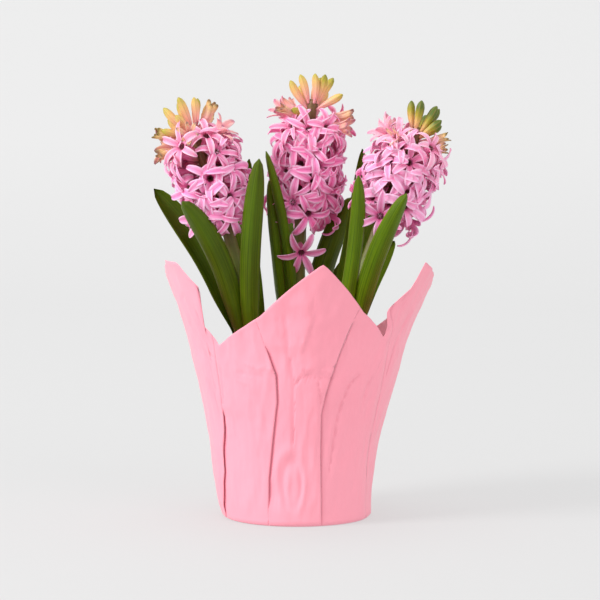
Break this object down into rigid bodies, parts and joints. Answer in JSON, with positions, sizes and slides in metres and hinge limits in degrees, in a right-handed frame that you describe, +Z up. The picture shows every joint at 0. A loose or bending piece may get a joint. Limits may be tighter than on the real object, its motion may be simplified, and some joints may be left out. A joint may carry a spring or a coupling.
{
  "type": "potted hyacinths",
  "caption": "Pink forced hyacinths with broad strap leaves, in a grower's pot inside a pleated pink paper wrap.",
  "frame": {"origin": "centre of the wrap's flat base, on the surface the pot stands on", "axes": "+Z up; -Y towards the front, where the wrap's tallest standing corner is; +X to the right seen from the front"},
  "size_m": [0.1931, 0.1862, 0.2974],
  "materials": {
    "wrap_paper": "satin",
    "pot_plastic": "matte",
    "soil": "matte",
    "bulb_skin": "satin",
    "stalk_green": "satin",
    "leaf_green": "satin",
    "petal_pink": "satin",
    "bud_blush": "satin"
  },
  "bodies": {
    "root": {"bud_centre_1": "bud_blush", "bud_centre_2": "bud_blush", "bud_centre_3": "bud_blush", "bud_centre_4": "bud_blush", "bud_centre_5": "bud_blush", "bud_centre_6": "bud_blush", "bud_centre_7": "bud_blush", "bud_centre_8": "bud_blush", "bud_left_1": "bud_blush", "bud_left_2": "bud_blush", "bud_left_3": "bud_blush", "bud_left_4": "bud_blush", "bud_left_5": "bud_blush", "bud_left_6": "bud_blush", "bud_left_7": "bud_blush", "bud_left_8": "bud_blush", "bud_right_1": "bud_blush", "bud_right_2": "bud_blush", "bud_right_3": "bud_blush", "bud_right_4": "bud_blush", "bud_right_5": "bud_blush", "bud_right_6": "bud_blush", "bud_right_7": "bud_blush", "bud_right_8": "bud_blush", "bulb_centre": "bulb_skin", "bulb_left": "bulb_skin", "bulb_right": "bulb_skin", "florets_centre": "petal_pink", "florets_left": "petal_pink", "florets_right": "petal_pink", "flower_stalk_centre": "stalk_green", "flower_stalk_left": "stalk_green", "flower_stalk_right": "stalk_green", "grower_pot": "pot_plastic", "leaf_centre_broad_right": "leaf_green", "leaf_centre_front_slender": "leaf_green", "leaf_centre_left": "leaf_green", "leaf_centre_low_right": "leaf_green", "leaf_centre_rear": "leaf_green", "leaf_left_far_left": "leaf_green", "leaf_left_front_left": "leaf_green", "leaf_left_front_upright": "leaf_green", "leaf_left_rear": "leaf_green", "leaf_left_rear_upright": "leaf_green", "leaf_right_front_right": "leaf_green", "leaf_right_front_short": "leaf_green", "leaf_right_rear": "leaf_green", "leaf_right_rear_dark": "leaf_green", "leaf_right_tall_left": "leaf_green", "pot_wrap": "wrap_paper", "potting_soil": "soil"}
  },
  "joints": []
}
